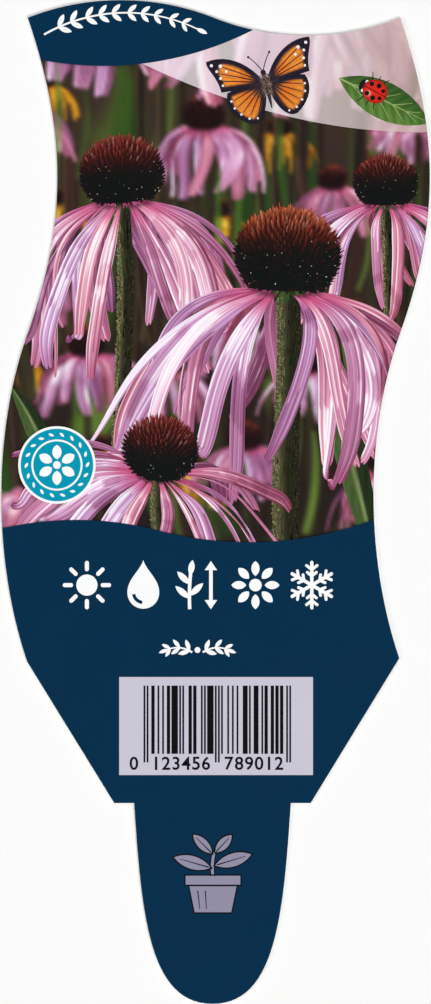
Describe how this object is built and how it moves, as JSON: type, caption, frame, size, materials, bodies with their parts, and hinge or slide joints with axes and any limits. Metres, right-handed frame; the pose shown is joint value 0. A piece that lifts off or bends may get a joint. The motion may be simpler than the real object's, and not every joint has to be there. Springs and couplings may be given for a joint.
{
  "type": "plant label",
  "caption": "Flat die-cut plastic plant label with a wavy printed picture head, a dark panel with bar marks, sloping shoulders and a long rounded tongue to push into the soil.",
  "frame": {"origin": "middle of the footprint, on the back face that the label lies on", "axes": "+Z out of the printed face, +Y from the tip of the tongue towards the head, +X to the right of the print"},
  "size_m": [0.073, 0.171, 0.0005],
  "materials": {
    "label_plastic": "white polypropylene sheet with a satin face and clean die-cut edges",
    "navy_ink": "flat dark blue print over the lower panel, the tongue and the header, satin under varnish",
    "picture_ink": "full-colour print of pink flowers on a dark garden background, satin under varnish",
    "pale_ink": "pale lilac-grey print of the bar panel and the tongue's motif",
    "white_ink": "unprinted white of the sheet inside the marks",
    "black_ink": "black print of the bars and fine lines",
    "teal_ink": "flat teal print of the round badge"
  },
  "bodies": {
    "root": {"label_sheet": "label_plastic"}
  },
  "joints": []
}
